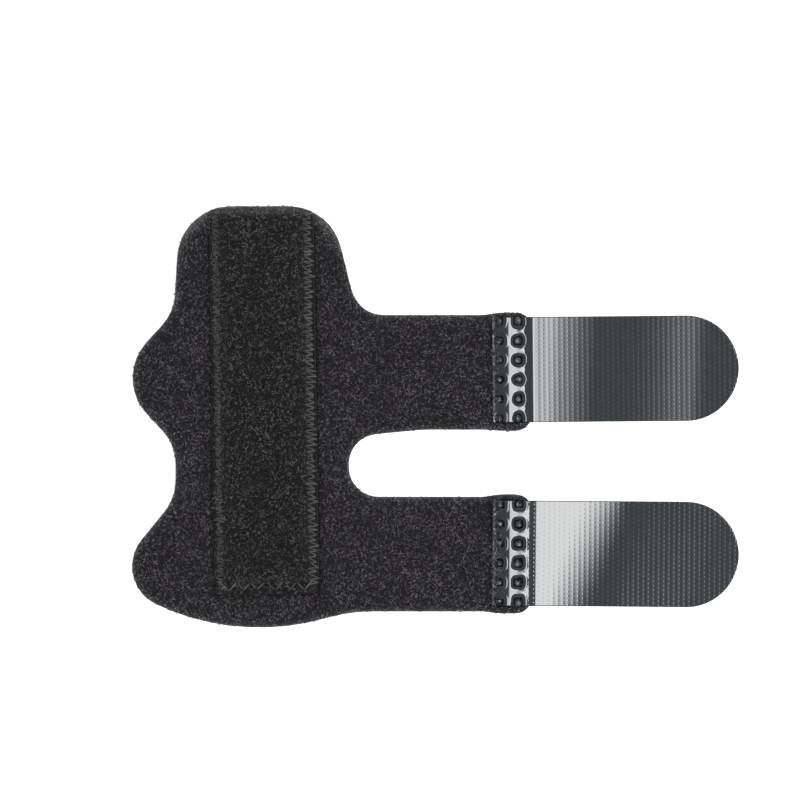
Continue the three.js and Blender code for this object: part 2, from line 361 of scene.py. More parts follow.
def tape_material(pocket, seam):
    """Loop tape: a fine ground weave turned with the pocket, flat woven at the seams, paler at the mouth."""
    g = Graph("loop_tape", Specular_IOR_Level=0.15, Sheen_Weight=0.05, Sheen_Roughness=0.5)
    warp = g.turned(angle=POCKET_TILT, centre=POCKET_CENTRE, kind="TEXTURE")
    picks = {"Vector": warp, "Scale": 0.5 / MM, "Distortion": 1.5}
    lines = g.node("TexWave", {"bands_direction": "Y"}, picks)
    grain = g.noise(0.25 * MM, 3, 0.6)
    patches = g.noise(2.4 * MM, 2, 0.5)
    tone = g.ramp(grain * 0.7 + patches * 0.3, (0.4, 0.0), (0.65, 1.0))
    ground = g.mix(tone, pocket.ground, scaled(2.3, pocket.ground))
    woven = g.mix(grain, scaled(0.4, pocket.selvedge), scaled(1.7, pocket.selvedge))
    inner = (pocket.width / 2 - seam.inset - seam.width / 2) / (pocket.width / 2)
    side = g.axis(warp, "X").math("ABSOLUTE") / (pocket.width / 2)
    edge = g.ramp(side, (inner - 0.02, 0.0), (inner + 0.02, 1.0), (0.955, 1.0), (0.97, 0.0))
    mouth_start = 1 - 1.3 * MM / POCKET_HALF_LENGTH
    mouth = g.ramp(g.axis(warp, "Y") / POCKET_HALF_LENGTH, (mouth_start, 0.0), (1.0, 1.0))
    cloth = g.mix(edge, ground, woven)
    cloth = g.mix(mouth * (0.4 + 0.6 * grain), cloth, scaled(3.6, pocket.selvedge))
    relief = g.bump(grain + lines * 0.3, 0.18 * MM, 0.8)
    return g.finish(Base_Color=cloth, Roughness=0.95 - 0.15 * tone, Normal=relief)


def yarn_material(name, dark, light, contrast):
    """Curled filament yarn, a little lighter or darker from loop to loop."""
    g = Graph(name, Specular_IOR_Level=0.3, Sheen_Weight=0.0)
    tone = g.attribute("tone")
    return g.finish(Base_Color=g.mix(tone**contrast, dark, light), Roughness=0.62 - 0.18 * tone)


def thread_material(seam):
    """Twisted filament sewing thread with a slight gloss."""
    g = Graph("sewing_thread", Specular_IOR_Level=0.4)
    twist = g.noise(0.12 * MM, 2, 0.5)
    tone = g.ramp(twist, (0.35, 0.0), (0.65, 1.0)) * 0.5 + g.attribute("tone") * 0.5
    shade = g.mix(tone, scaled(0.18, seam.thread), seam.thread)
    return g.finish(Base_Color=shade, Roughness=0.5 - 0.15 * tone, Normal=g.bump(twist, 0.05 * MM))


def film_material(name, tab, place, mark_depth):
    """Moulded nylon film: dark and glossy, with a sink mark behind each hook and faint rub marks."""
    g = Graph(name, Specular_IOR_Level=0.5, IOR=1.5)
    flat = g.turned(angle=place.to_euler().z, centre=place.translation, kind="TEXTURE")
    along = g.axis(flat, "X") / tab.column_pitch
    column = along.math("ROUND")
    across = g.axis(flat, "Y") / tab.row_pitch - column.math("FLOORED_MODULO", 2) * 0.5
    dx = (along - column) * tab.column_pitch
    dy = (across - across.math("ROUND")) * tab.row_pitch
    distance = (dx * dx + dy * dy) ** 0.5
    dimple = g.ramp(distance / tab.dimple_radius, (0.0, 1.0), (0.3, 0.85), (0.7, 0.15), (1.0, 0.0))
    ridge = (along * (2 * math.pi)).math("COSINE") * -0.5
    marks = dimple * (-tab.dimple_depth) + ridge * tab.ridge_height
    free = g.ramp(g.axis(flat, "X") / (10 * MM), (0.62, 0.0), (0.78, 1.0))
    rubs = g.noise(0.9 * MM, 3, 0.6, at=g.turned((0.3, 1, 1)))
    scuffs = g.ramp(rubs, (0.4, 0.0), (0.7, 1.0))
    shade = g.mix(scuffs, tab.film, scaled(1.5, tab.film))
    relief = g.bump(marks * free * mark_depth + rubs * (0.0015 * MM), 1.0)
    bottom = g.ramp(g.attribute("sunk"), (0.75, 0.0), (0.98, 1.0))
    pressed = bottom * g.ramp(g.noise(0.35 * MM, 3, 0.6), (0.38, 0.0), (0.62, 1.0))
    shade = g.mix(pressed, shade, tab.pressed)
    return g.finish(Base_Color=shade, Roughness=0.072 + 0.02 * scuffs + 0.4 * pressed, Normal=relief)


def hook_material(tab):
    """The film's nylon where it is drawn into hooks."""
    return Graph("hook_nylon", Base_Color=tab.film, Roughness=0.3, IOR=1.53).material


def floor_material(stage):
    """Smooth pale card with a light of its own."""
    g = Graph("pale_card", Specular_IOR_Level=0.2, Emission_Color=stage.floor, Emission_Strength=stage.glow)
    tooth = g.noise(3 * MM, 3, 0.6)
    shade = g.mix(tooth, scaled(0.99, stage.floor), stage.floor)
    return g.finish(Base_Color=shade, Roughness=0.85)


# Modelling helpers


def deselect_all():
    if bpy.context.object and bpy.context.object.mode != "OBJECT":
        bpy.ops.object.mode_set(mode="OBJECT")
    bpy.ops.object.select_all(action="DESELECT")


def activate(piece):
    deselect_all()
    piece.select_set(True)
    bpy.context.view_layer.objects.active = piece


def new_object(name, data):
    piece = bpy.data.objects.new(name, data)
    bpy.context.scene.collection.objects.link(piece)
    return piece


def coordinates(mesh, kind="co"):
    flat = np.empty(len(mesh.vertices) * 3)
    mesh.vertices.foreach_get(kind, flat)
    return flat.reshape(-1, 3)


def move_vertices(mesh, places):
    mesh.vertices.foreach_set("co", np.ascontiguousarray(places).ravel())
    mesh.update()


def write_attribute(mesh, name, values):
    """Gives each vertex a number that a material reads."""
    mesh.attributes.new(name, "FLOAT", "POINT").data.foreach_set("value", values)


def new_grid(name, columns, rows):
    """A flat grid, one metre wide and long, and where its vertices lie across and along it."""
    deselect_all()
    bpy.ops.mesh.primitive_grid_add(x_subdivisions=columns, y_subdivisions=rows, size=1)
    piece = bpy.context.object
    piece.name = name
    return piece, *coordinates(piece.data)[:, :2].T


def apply_modifier(piece, name, kind, **values):
    activate(piece)
    modifier = piece.modifiers.new(name, kind)
    for key, value in values.items():
        setattr(modifier, key, value)
    bpy.ops.object.modifier_apply(modifier=modifier.name)


def tidy_normals(piece):
    """Merges doubled vertices and turns every face outwards."""
    activate(piece)
    bpy.ops.object.mode_set(mode="EDIT")
    bpy.ops.mesh.select_all(action="SELECT")
    bpy.ops.mesh.remove_doubles(threshold=1e-7)
    bpy.ops.mesh.normals_make_consistent(inside=False)
    bpy.ops.object.mode_set(mode="OBJECT")


def copy_of_node(node, name):
    """A merged copy of a CAD node's mesh as a new object."""
    piece = new_object(name, frame["nodes"][node].data.copy())
    piece.data.materials.clear()
    tidy_normals(piece)
    return piece


def dress(piece, material):
    """Gives a finished piece its material, smooth shading and body."""
    piece.data.materials.clear()
    piece.data.materials.append(material)
    piece.data.shade_smooth()
    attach(piece, BODY)
    return piece


def smooth_step(low, high, value):
    share = np.clip((value - low) / (high - low), 0, 1)
    return share * share * (3 - 2 * share)


def waves(x, y, size, seed):
    """Slow even unevenness between -1 and 1, as a sum of a few plane waves."""
    rng = np.random.default_rng(seed)
    total = np.zeros_like(x)
    count = 7
    for _ in range(count):
        angle = rng.uniform(0, 2 * math.pi)
        wave = size * rng.uniform(0.6, 1.6)
        phase = rng.uniform(0, 2 * math.pi)
        total += np.sin((x * math.cos(angle) + y * math.sin(angle)) * 2 * math.pi / wave + phase)
    return total / count


def pocket_coordinates(x, y):
    """Across and along the pocket's tape, from its centre."""
    dx, dy = x - POCKET_CENTRE.x, y - POCKET_CENTRE.y
    c, s = math.cos(POCKET_TILT), math.sin(POCKET_TILT)
    return dx * c + dy * s, dy * c - dx * s


def from_pocket(u, v):
    c, s = math.cos(POCKET_TILT), math.sin(POCKET_TILT)
    return POCKET_CENTRE.x + u * c - v * s, POCKET_CENTRE.y + u * s + v * c


def tape_distance(x, y):
    """How far a point lies outside the pocket's tape, past its two sides and its lower end."""
    u, v = pocket_coordinates(x, y)
    return np.maximum(np.abs(u) - settings("pocket").width / 2, -v - POCKET_HALF_LENGTH)


# Pad

LEFT_DIP = 0.35
WALL_NORMAL_Z = 0.3
# Where the finger end begins, and how strong the painted highlight along the cut edge is there and elsewhere
FINGER_END = (38 * MM, 45 * MM)
RIM_HIGHLIGHT_STRENGTH = 0.55
FINGER_RIM_HIGHLIGHT_STRENGTH = 1.5


def shape_pad(places, pad):
    """Draws the pad down beside the seam and makes its face slightly uneven."""
    x, y, z = places.T
    top = smooth_step(0.6, 0.95, z / PAD_TOP)
    beside = np.maximum(tape_distance(x, y), 0)
    left = pocket_coordinates(x, y)[0] < -settings("pocket").width / 2
    dip = pad.seam_dip * np.where(left, LEFT_DIP, 1) * np.exp(-((beside / pad.seam_reach) ** 2))
    swell = pad.swell * waves(x, y, pad.swell_size, 3)
    moved = places.copy()
    moved[:, 2] = np.maximum(z + top * (swell - dip), 0)
    return moved


def rim_highlight_share(places):
    """How much painted highlight the pad's cut edge gets: 0 well inside it, and most at the finger end."""
    pad, mesh = settings("pad"), bpy.data.objects["pad_cloth"].data
    wall = coordinates(mesh)[np.abs(coordinates(mesh, "normal")[:, 2]) < WALL_NORMAL_Z]
    tree = KDTree(len(wall))
    for number, (x, y, _) in enumerate(wall):
        tree.insert((x, y, 0), number)
    tree.balance()
    inwards = np.array([tree.find((x, y, 0))[2] for x, y, _ in places])
    finger = smooth_step(*FINGER_END, places[:, 1])
    reach = pad.rim_highlight_reach + (pad.finger_rim_highlight_reach - pad.rim_highlight_reach) * finger
    strength = RIM_HIGHLIGHT_STRENGTH + (FINGER_RIM_HIGHLIGHT_STRENGTH - RIM_HIGHLIGHT_STRENGTH) * finger
    return strength * np.exp(-((inwards / reach) ** 2))


class SPLINT_OT_pad(bpy.types.Operator):
    """Models the cut foam pad with its two straps"""

    bl_idname = "splint.pad"
    bl_label = "Pad"

    def execute(self, context):
        pad = settings("pad")
        piece = copy_of_node("body_pad", "pad_cloth")
        apply_modifier(piece, "Even cells", "REMESH", mode="VOXEL", voxel_size=pad.cell)
        apply_modifier(piece, "Soft edges", "SMOOTH", factor=0.5, iterations=3)
        move_vertices(piece.data, shape_pad(coordinates(piece.data), pad))
        # The rim attribute holds the painted highlight along the cut edge
        write_attribute(piece.data, "rim", rim_highlight_share(coordinates(piece.data)))
        dress(piece, cloth_material(pad))
        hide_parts("body_pad")
        return {"FINISHED"}


# Stay pocket


def pocket_lift(u, v, pocket):
    """From 0 along the seam to 1 over the stay's room."""
    seam = settings("seam")
    margin = seam.inset + seam.width / 2
    from_side = pocket.width / 2 - margin - np.abs(u)
    from_end = v + POCKET_HALF_LENGTH - margin
    return smooth_step(0, pocket.shoulder, np.minimum(from_side, from_end))


def seam_draw(u, v, pocket):
    """How far the stitches draw the tape down at a place on it."""
    seam = settings("seam")
    side = np.abs(pocket.width / 2 - seam.inset - np.abs(u))
    end = np.abs(v + POCKET_HALF_LENGTH - seam.end_inset)
    nearest = np.minimum(side, end)
    return seam.sink * np.exp(-((nearest / (0.5 * seam.width)) ** 2))


def pocket_height(u, v, pocket):
    """Height of the tape's upper face."""
    over = pocket.rise * pocket_lift(u, v, pocket)
    uneven = 0.05 * MM * waves(u, v, 5 * MM, 11)
    return pocket.seam_height + over + uneven - seam_draw(u, v, pocket)


def rounded_corners(u, v, pocket):
    """Draws the tape's four corners in to a small round."""
    half_width, half_length = pocket.width / 2 - pocket.corner, POCKET_HALF_LENGTH - pocket.corner
    out_u, out_v = np.maximum(np.abs(u) - half_width, 0), np.maximum(np.abs(v) - half_length, 0)
    reach = np.hypot(out_u, out_v)
    share = np.maximum(out_u, out_v) / np.maximum(reach, 1e-12)
    share = np.where(reach > 0, share, 1)
    inner_u, inner_v = np.minimum(np.abs(u), half_width), np.minimum(np.abs(v), half_length)
    return np.sign(u) * (inner_u + out_u * share), np.sign(v) * (inner_v + out_v * share)


class SPLINT_OT_pocket(bpy.types.Operator):
    """Models the sleeve of loop tape that takes the stay"""

    bl_idname = "splint.pocket"
    bl_label = "Stay pocket"

    def execute(self, context):
        pocket = settings("pocket")
        across = round(pocket.width / pocket.cell)
        along = round(2 * POCKET_HALF_LENGTH / pocket.cell)
        piece, u, v = new_grid("pocket_sleeve", across, along)
        u, v = rounded_corners(u * pocket.width, v * 2 * POCKET_HALF_LENGTH, pocket)
        x, y = from_pocket(u, v)
        move_vertices(piece.data, np.column_stack((x, y, pocket_height(u, v, pocket))))
        apply_modifier(piece, "Tape", "SOLIDIFY", thickness=pocket.thickness, offset=-1)
        tidy_normals(piece)
        dress(piece, tape_material(pocket, settings("seam")))
        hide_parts("stay_pocket")
        2 * POCKET_HALF_LENGTH
        return {"FINISHED"}


# Copies of small things


def template(piece):
    """A modelled piece's vertices and faces, after which the piece is removed."""
    places = coordinates(piece.data)
    faces = [tuple(face.vertices) for face in piece.data.polygons]
    bpy.data.objects.remove(piece)
    return places, faces


def joined_copies(name, shape, matrices, centres, tones=None):
    """One mesh of many copies of a small shape, each turned by a matrix and set at a centre."""
    places, faces = shape
    count, corners = len(centres), len(places)
    points = np.einsum("nij,kj->nki", matrices, places) + centres[:, None, :]
    sizes = np.array([len(face) for face in faces])
    loops = np.concatenate([np.array(face) for face in faces])
    all_loops = (loops[None, :] + corners * np.arange(count)[:, None]).ravel()
    all_sizes = np.tile(sizes, count)
    mesh = bpy.data.meshes.new(name)
    mesh.vertices.add(count * corners)
    mesh.vertices.foreach_set("co", points.ravel())
    mesh.loops.add(len(all_loops))
    mesh.loops.foreach_set("vertex_index", all_loops.astype(np.int32))
    mesh.polygons.add(len(all_sizes))
    starts = np.concatenate(([0], np.cumsum(all_sizes)[:-1]))
    mesh.polygons.foreach_set("loop_start", starts.astype(np.int32))
    mesh.update(calc_edges=True)
    if tones is not None:
        write_attribute(mesh, "tone", np.repeat(tones, corners))
    mesh.validate()
    return new_object(name, mesh)


def spun_strand(radius, bend, angle, steps, sides, drift=0.0):
    """A piece of yarn of that radius, spun through an angle about +Y at a bend radius, with closed ends."""
    deselect_all()
    bpy.ops.mesh.primitive_circle_add(vertices=sides, radius=radius, fill_type="NGON", location=(bend, 0, 0))
    bpy.ops.object.transform_apply()
    bpy.ops.object.mode_set(mode="EDIT")
    bpy.ops.mesh.select_all(action="SELECT")
    bpy.ops.mesh.spin(steps=steps, angle=angle, center=(0, 0, 0), axis=(0, 1, 0), dupli=False)
    bpy.ops.object.mode_set(mode="OBJECT")
    piece = bpy.context.object
    places = coordinates(piece.data)
    places[:, 1] += drift * (1 - places[:, 0] / bend) / 2
    move_vertices(piece.data, places)
    tidy_normals(piece)
    return template(piece)


def cord_shape(points, radius):
    """A round cord along a line of points, as a template."""
    line = bpy.data.curves.new("cord", "CURVE")
    line.dimensions = "3D"
    line.bevel_depth = radius
    line.bevel_resolution = 1
    line.use_fill_caps = True
    path = line.splines.new("POLY")
    path.points.add(len(points) - 1)
    for point, place in zip(path.points, points):
        point.co = (*place, 1)
    activate(new_object("cord", line))
    bpy.ops.object.convert(target="MESH")
    piece = bpy.context.object
    tidy_normals(piece)
    return template(piece)


# Seam

# A straight run of zigzag: its first hole's side, how a place on it lies on the tape, the thread's least
# lightness (lowest on the left run, as painted shade) and what clumps add to it, and how far every other hole
# leans back
Run = namedtuple("Run", "swing width pitch start stop place light clumps lean")

# A stitch's line: places in shares of its length, heights in millimetres
STITCH_LENGTH = 1.8 * MM
STITCH_LINE = ((-0.5, -0.3), (-0.44, -0.08), (-0.3, 0), (0, 0.06), (0.3, 0), (0.44, -0.08), (0.5, -0.3))
CLUMP_SIZE = 6 * MM
CLUMP_SEED = 30
EVEN_STITCH_LIGHT = 1.15
ODD_STITCH_LIGHT = 0.7
LEFT_STITCH_SINK = 0.12 * MM


def seam_runs():
    """The seam's three runs: down the right side, across the end and up the left."""
    seam = settings("seam")
    side = settings("pocket").width / 2 - seam.inset
    end = -POCKET_HALF_LENGTH + seam.end_inset
    top = POCKET_HALF_LENGTH - 0.6 * seam.pitch
    return (
        Run(1, seam.width, seam.pitch, top, end, lambda out, at: (side + out, at), 0.7, 0.9, 0.6),
        Run(1, seam.end_width, seam.end_pitch, side, -side, lambda out, at: (at, end + out), 1.4, 0.0, 0.0),
        # The left run's thread is darkest: painted shade for the seam farther from the softbox
        Run(-1, seam.width, seam.pitch, end, top, lambda out, at: (-side + out, at), 0.0, 1.0, 0.6),
    )


def seam_holes(run):
    """The needle's holes in order, across and along the tape."""
    throws = round(abs(run.stop - run.start) / run.pitch * 2)
    holes = []
    for k in range(throws + 1):
        out = run.swing * run.width / 2 * (-1) ** k
        along = run.start + (run.stop - run.start) * (k - run.lean * (k % 2)) / throws
        holes.append(run.place(out, along))
    return holes


class SPLINT_OT_seam(bpy.types.Operator):
    """Sews the pocket to the pad with a zigzag along three edges"""

    bl_idname = "splint.seam"
    bl_label = "Seam"

    def execute(self, context):
        seam, pocket = settings("seam"), settings("pocket")
        rng = np.random.default_rng(seam.seed)
        line = [(at * STITCH_LENGTH, 0, up * MM) for at, up in STITCH_LINE]
        strand = cord_shape(line, seam.thread_radius)
        matrices, centres, lights = [], [], []
        for run in seam_runs():
            strayed = [np.array(hole) + rng.normal(0, seam.stray, 2) for hole in seam_holes(run)]
            along = np.arange(len(strayed)) * seam.pitch / 2
            clumps = smooth_step(0.0, 0.4, waves(along, 0 * along, CLUMP_SIZE, CLUMP_SEED + len(lights)))
            lightness = run.light + run.clumps * clumps
            buried = LEFT_STITCH_SINK if run.swing < 0 else 0
            for number, (first, last) in enumerate(zip(strayed, strayed[1:])):
                start, stop = Vector((*from_pocket(*first), 0)), Vector((*from_pocket(*last), 0))
                throw = stop - start
                across = throw.normalized()
                aside = Vector((-across.y, across.x, 0))
                stretched = across * throw.length / STITCH_LENGTH
                matrices.append(Matrix((stretched, aside, Vector((0, 0, 1)))).transposed())
                height = pocket_height(*((first + last) / 2), pocket) + 0.7 * seam.thread_radius
                centres.append((*((start + stop) / 2).xy, height - buried))
                lights.append(lightness[number] * (ODD_STITCH_LIGHT if number % 2 else EVEN_STITCH_LIGHT))
        tones = rng.random(len(centres)) * np.array(lights)
        piece = joined_copies("pocket_stitches", strand, np.array(matrices), np.array(centres), tones)
        dress(piece, thread_material(seam))
        return {"FINISHED"}


# Hook tabs

# How steeply each film falls, in degrees, at places in millimetres from its welded end
FILM_FALLS = {
    "upper": (
        (0, -1), (2.95, -1), (3.1, 5.6), (5.9, 5.6), (6.3, 18), (7.5, 18), (7.9, 4.2), (9.2, 4.1),
        (10.6, 4.2), (12, 3.3), (13.5, 2.6), (15.1, 2.2), (16.6, 1.3), (18.1, 0.8), (19.6, -0.5), (26, -0.9),
        (28.6, -0.5), (31.8, -0.1), (34.5, 0.4), (38, 0.35), (39.2, -0.6), (41, -1.7), (47, -1.9),
    ),
    "lower": (
        (0, -1), (3.05, -1), (3.25, 5.6), (6.5, 5.6), (6.9, 13), (8.1, 13), (8.5, 6.6), (12.8, 6.5),
        (14, 5.7), (15.1, 4.8), (16.6, 4.0), (18.1, 3.1), (19.6, 2.1), (21.2, 0.8), (22.7, -0.5),
        (24.2, -1.2), (28, -0.6), (36, -0.8), (40, -1.1), (42, -1.7), (47, -1.8),
    ),
}
LANDING = 24 * MM
FALL_START = (8.7 * MM, 12 * MM)
FALL_SKEW = {"upper": 0.06, "lower": 0.365}
WELD_TILT = 0.5
MARK_DEPTH = {"upper": 1.0, "lower": 1.4}

# The weld's pits, and how they differ from one another
PIT_ROWS = 6
PIT_SEED = {"upper": 3, "lower": 6}
PIT_SQUARENESS = {"upper": 2.1, "lower": 2.7}
PIT_SQUARENESS_SPREAD = 1.2
PIT_STRETCH = 0.04
PIT_LOBES = (2, 3, 5)
PIT_LOBE_DEPTH = 0.02
COLUMN_SCALES = (0.95, 1.05)
KNOB_STRAY = 0.16 * MM
KNOB_SHIFT = (0.12 * MM, 0.12 * MM)
KNOB_RADIUS = 0.55 * MM
EDGE_SPECK = {"upper": 0.02 * MM, "lower": 0.05 * MM}
EDGE_SPECK_INSET = 0.25 * MM
EDGE_SPECK_RADIUS = 0.22 * MM
ROUGH_EDGE = (0.3 * MM, 1.2 * MM)
ROUGH_EDGE_SUNK = 0.92
WELD_FADE = (0.3 * MM, 1.2 * MM)


def film_height(name, x, y):
    """Height of the film's upper face, without weld or sink marks.

    The fall is askew: it comes later by the skew times y. Part of what that lifts is left as a tilt of the
    weld, and the rest is spread over the tape from its landing place to its tip.
    """
    at, fall = np.array(FILM_FALLS[name]).T
    step = 0.05 * MM
    fine = np.arange(0, 50 * MM, step)
    loose = smooth_step(*FALL_START, fine)
    lying = np.interp(fine, (LANDING, fine[-1]), (1, 0))
    rows = np.linspace(-TAPE_WIDTH / 2, TAPE_WIDTH / 2, 9)
    heights = []
    for row in rows:
        place = np.maximum(fine - FALL_SKEW[name] * row * loose, np.minimum(fine, FALL_START[0]))
        drop = np.tan(np.radians(np.interp(place, at * MM, fall)))
        height = -np.cumsum(drop) * step
        heights.append(height + settings("tab").lying_height - np.interp(LANDING, fine, height))
    middle = heights[len(rows) // 2]
    total = np.zeros_like(x)
    for row, height in zip(rows, heights):
        height = height - (1 - WELD_TILT) * (height[0] - middle[0]) * lying
        share = np.clip(1 - np.abs(y - row) / (rows[1] - rows[0]), 0, 1)
        total += share * np.interp(x, fine, height)
    return total


def pit_centres(tab):
    columns = tab.pit_radius + tab.pit_column_pitch * np.arange(2)
    rows = tab.pit_row_pitch * (np.arange(PIT_ROWS) - (PIT_ROWS - 1) / 2)
    return [(x, y) for x in columns for y in rows]


def weld_relief(name, x, y, tab):
    """What the weld does to the film: its height, and how deep in a pit each place is, from 0 to 1.

    No two pits are alike, and each has a knob in it and a raised ring at its right. The film's edge counts as
    nearly sunk, because the cloth roughens it too.
    """
    rng = np.random.default_rng(PIT_SEED[name])
    relief, sunk = np.zeros_like(x), np.zeros_like(x)
    for number, (cx, cy) in enumerate(pit_centres(tab)):
        column = number // PIT_ROWS
        radius = tab.pit_radius * COLUMN_SCALES[column]
        dx, dy = x - cx, y - cy
        corner = PIT_SQUARENESS[name] + rng.uniform(0, PIT_SQUARENESS_SPREAD)
        wide, tall = rng.normal(1, PIT_STRETCH, 2)
        off_x, off_y = rng.normal(0, KNOB_STRAY, 2) - KNOB_SHIFT
        distance = (np.abs(dx / wide) ** corner + np.abs(dy / tall) ** corner) ** (1 / corner)
        angle = np.arctan2(dy, dx)
        for lobes in PIT_LOBES:
            distance *= 1 + PIT_LOBE_DEPTH * np.sin(lobes * angle + rng.uniform(0, 2 * math.pi))
        inside = 1 - smooth_step(0.4 * radius, 0.97 * radius, distance)
        knob_height = rng.uniform(0.25, 0.6) * MM
        knob = knob_height * np.exp(-(np.hypot(dx - off_x, dy - off_y) / KNOB_RADIUS) ** 3)
        ring = tab.pit_rim * np.exp(-(((distance - 1.03 * radius) / (0.15 * radius)) ** 2))
        ring *= smooth_step(-0.3 * radius, 0.5 * radius, dx - (0 if column else 0.5 * dy))
        relief += (knob - tab.pit_depth * rng.uniform(0.85, 1.1)) * inside + ring
        sunk = np.maximum(sunk, inside)
    for cy in tab.pit_row_pitch * (np.arange(PIT_ROWS - 1) - (PIT_ROWS - 2) / 2):
        speck = np.hypot(x - EDGE_SPECK_INSET, (y - cy) * 0.8) / EDGE_SPECK_RADIUS
        relief += EDGE_SPECK[name] * np.exp(-(speck**2))
    sunk = np.maximum(sunk, ROUGH_EDGE_SUNK * (1 - smooth_step(*ROUGH_EDGE, x)))
    fade = 1 - smooth_step(*WELD_FADE, x - tab.seat_length)
    return fade * relief, fade * sunk


def tab_stations(tab, tape_length):
    """Where the grid's lines stand along and across the tape."""
    weld_step, free_step, across_lines = 0.13 * MM, 0.32 * MM, 125
    weld = np.arange(0, tab.seat_length + 2 * MM, weld_step)
    tip = tape_length - np.array([0.14, 0.06, 0.015, 0]) * MM
    free = np.arange(weld[-1] + free_step, tip[0] - 0.05 * MM, free_step)
    across = np.linspace(-TAPE_WIDTH / 2, TAPE_WIDTH / 2, across_lines)
    return np.concatenate((weld, free, tip)), across


def inside_tip(x, y, tape_length):
    """Draws the grid's outer lines in to the tape's round tip."""
    radius = TAPE_WIDTH / 2
    past = np.clip(x - (tape_length - radius), 0, radius)
    reach = np.sqrt(np.maximum(radius**2 - past**2, 0))
    return np.clip(y, -reach, reach)


def on_tab(name):
    """The matrix from a tab's own frame, x along the tape, to the row frame."""
    return Matrix.Translation(TABS[name].start) @ Matrix.Rotation(TABS[name].splay, 4, "Z")


def placed(places, matrix):
    return places @ np.array(matrix.to_3x3()).T + np.array(matrix.translation)


class SPLINT_OT_tabs(bpy.types.Operator):
    """Models the film of the two hook tabs, welded to the straps"""

    bl_idname = "splint.tabs"
    bl_label = "Hook tabs"

    def execute(self, context):
        tab = settings("tab")
        for name, place in TABS.items():
            along, across = tab_stations(tab, place.length)
            columns, rows = len(along) - 1, len(across) - 1
            piece, column, row = new_grid(f"{name}_tab_film", columns, rows)
            x = along[np.round((column + 0.5) * columns).astype(int)]
            y = inside_tip(x, across[np.round((row + 0.5) * rows).astype(int)], place.length)
            relief, sunk = weld_relief(name, x, y, tab)
            move_vertices(piece.data, np.column_stack((x, y, film_height(name, x, y) + relief)))
            write_attribute(piece.data, "sunk", sunk)
            tidy_normals(piece)
            apply_modifier(piece, "Film", "SOLIDIFY", thickness=FILM_THICKNESS, offset=-1)
            move_vertices(piece.data, placed(coordinates(piece.data), on_tab(name)))
            dress(piece, film_material(f"{name}_film", tab, on_tab(name), MARK_DEPTH[name]))
            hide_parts(place.node)
        return {"FINISHED"}


def hook_spots(tab, tape_length):
    """Where each hook stands on the tape, and which way it looks: 1 or -1 by its column."""
    reach = TAPE_WIDTH / 2 - 0.35 * MM
    half_rows = int(reach / tab.row_pitch) + 1
    spots = []
    for number, x in enumerate(np.arange(0, tape_length, tab.column_pitch)):
        if x < tab.seat_length + 2.5 * MM:
            continue
        odd = number % 2
        past = max(x - (tape_length - TAPE_WIDTH / 2), 0)
        for y in np.arange(-half_rows, half_rows + 1) * tab.row_pitch + 0.5 * tab.row_pitch * odd:
            if past**2 + y**2 < reach**2:
                spots.append((x, y, 1 if odd else -1))
    return np.array(spots).T


class SPLINT_OT_hooks(bpy.types.Operator):
    """Models the hooks under the two tabs"""

    bl_idname = "splint.hooks"
    bl_label = "Hooks"

    def execute(self, context):
        tab = settings("tab")
        material = hook_material(tab)
        crook = spun_strand(0.5, 1.0, math.radians(200), 4, 4)
        clearance = 0.02 * MM
        for name, place in TABS.items():
            x, y, way = hook_spots(tab, place.length)
            root = film_height(name, x, y) - FILM_THICKNESS
            size = np.minimum(tab.hook_height, root - clearance)
            scale = np.column_stack((way * size * 0.32, size * 0.22, -size * 0.6))
            turn = np.array(on_tab(name).to_3x3())
            matrices = np.einsum("ij,njk->nik", turn, np.array([np.diag(s) for s in scale]))
            centres = placed(np.column_stack((x, y, root - 0.1 * size)), on_tab(name))
            piece = joined_copies(f"{name}_tab_hooks", crook, matrices, centres)
            tidy_normals(piece)
            dress(piece, material)
        return {"FINISHED"}


# Pile

# Where the pad's pile is parted along x, and the pocket's along its length, in millimetres
PAD_PARTS = (-30, 10, 26, 60)
POCKET_PARTS = (-40, 0, 40)

# How loops stand, and where there are fewer of them: shares of their full number, and lengths
UPWARD = 0.5
LOOP_LEAN = 0.7
LOOP_SIZES = (0.6, 1.5)
PAD_GAP = {"left": -0.25 * MM, "right": 0.5 * MM}
LEFT_SEAM_PILE = 0.95
SEAM_PILE = 0.4
MOUTH_PILE = 0.7
MOUTH_REACH = 0.8 * MM
BARE_EDGE = 0.35 * MM
FRAY_REACH = 2.0 * MM
FRAY_DENSITY = 13.0


def surface_points(piece, density, keep, rng):
    """Random places on the kept part of a piece's faces, so many to a square mm, with their normals."""
    mesh = piece.data
    mesh.calc_loop_triangles()
    total = len(mesh.loop_triangles)
    corners = np.empty(total * 3, np.int32)
    mesh.loop_triangles.foreach_get("vertices", corners)
    corners = coordinates(mesh)[corners.reshape(-1, 3)]
    normal = np.cross(corners[:, 1] - corners[:, 0], corners[:, 2] - corners[:, 0])
    area = np.linalg.norm(normal, axis=1)
    weight = area * keep(corners.mean(axis=1), normal / np.maximum(area, 1e-12)[:, None])
    count = round(density * weight.sum() / 2 / MM**2)
    chosen = rng.choice(total, count, p=weight / weight.sum())
    a, b = rng.random((2, count, 1))
    folded = (a + b) > 1
    a, b = np.where(folded, 1 - a, a), np.where(folded, 1 - b, b)
    p = corners[chosen]
    return p[:, 0] + a * (p[:, 1] - p[:, 0]) + b * (p[:, 2] - p[:, 0]), normal[chosen] / area[chosen, None]


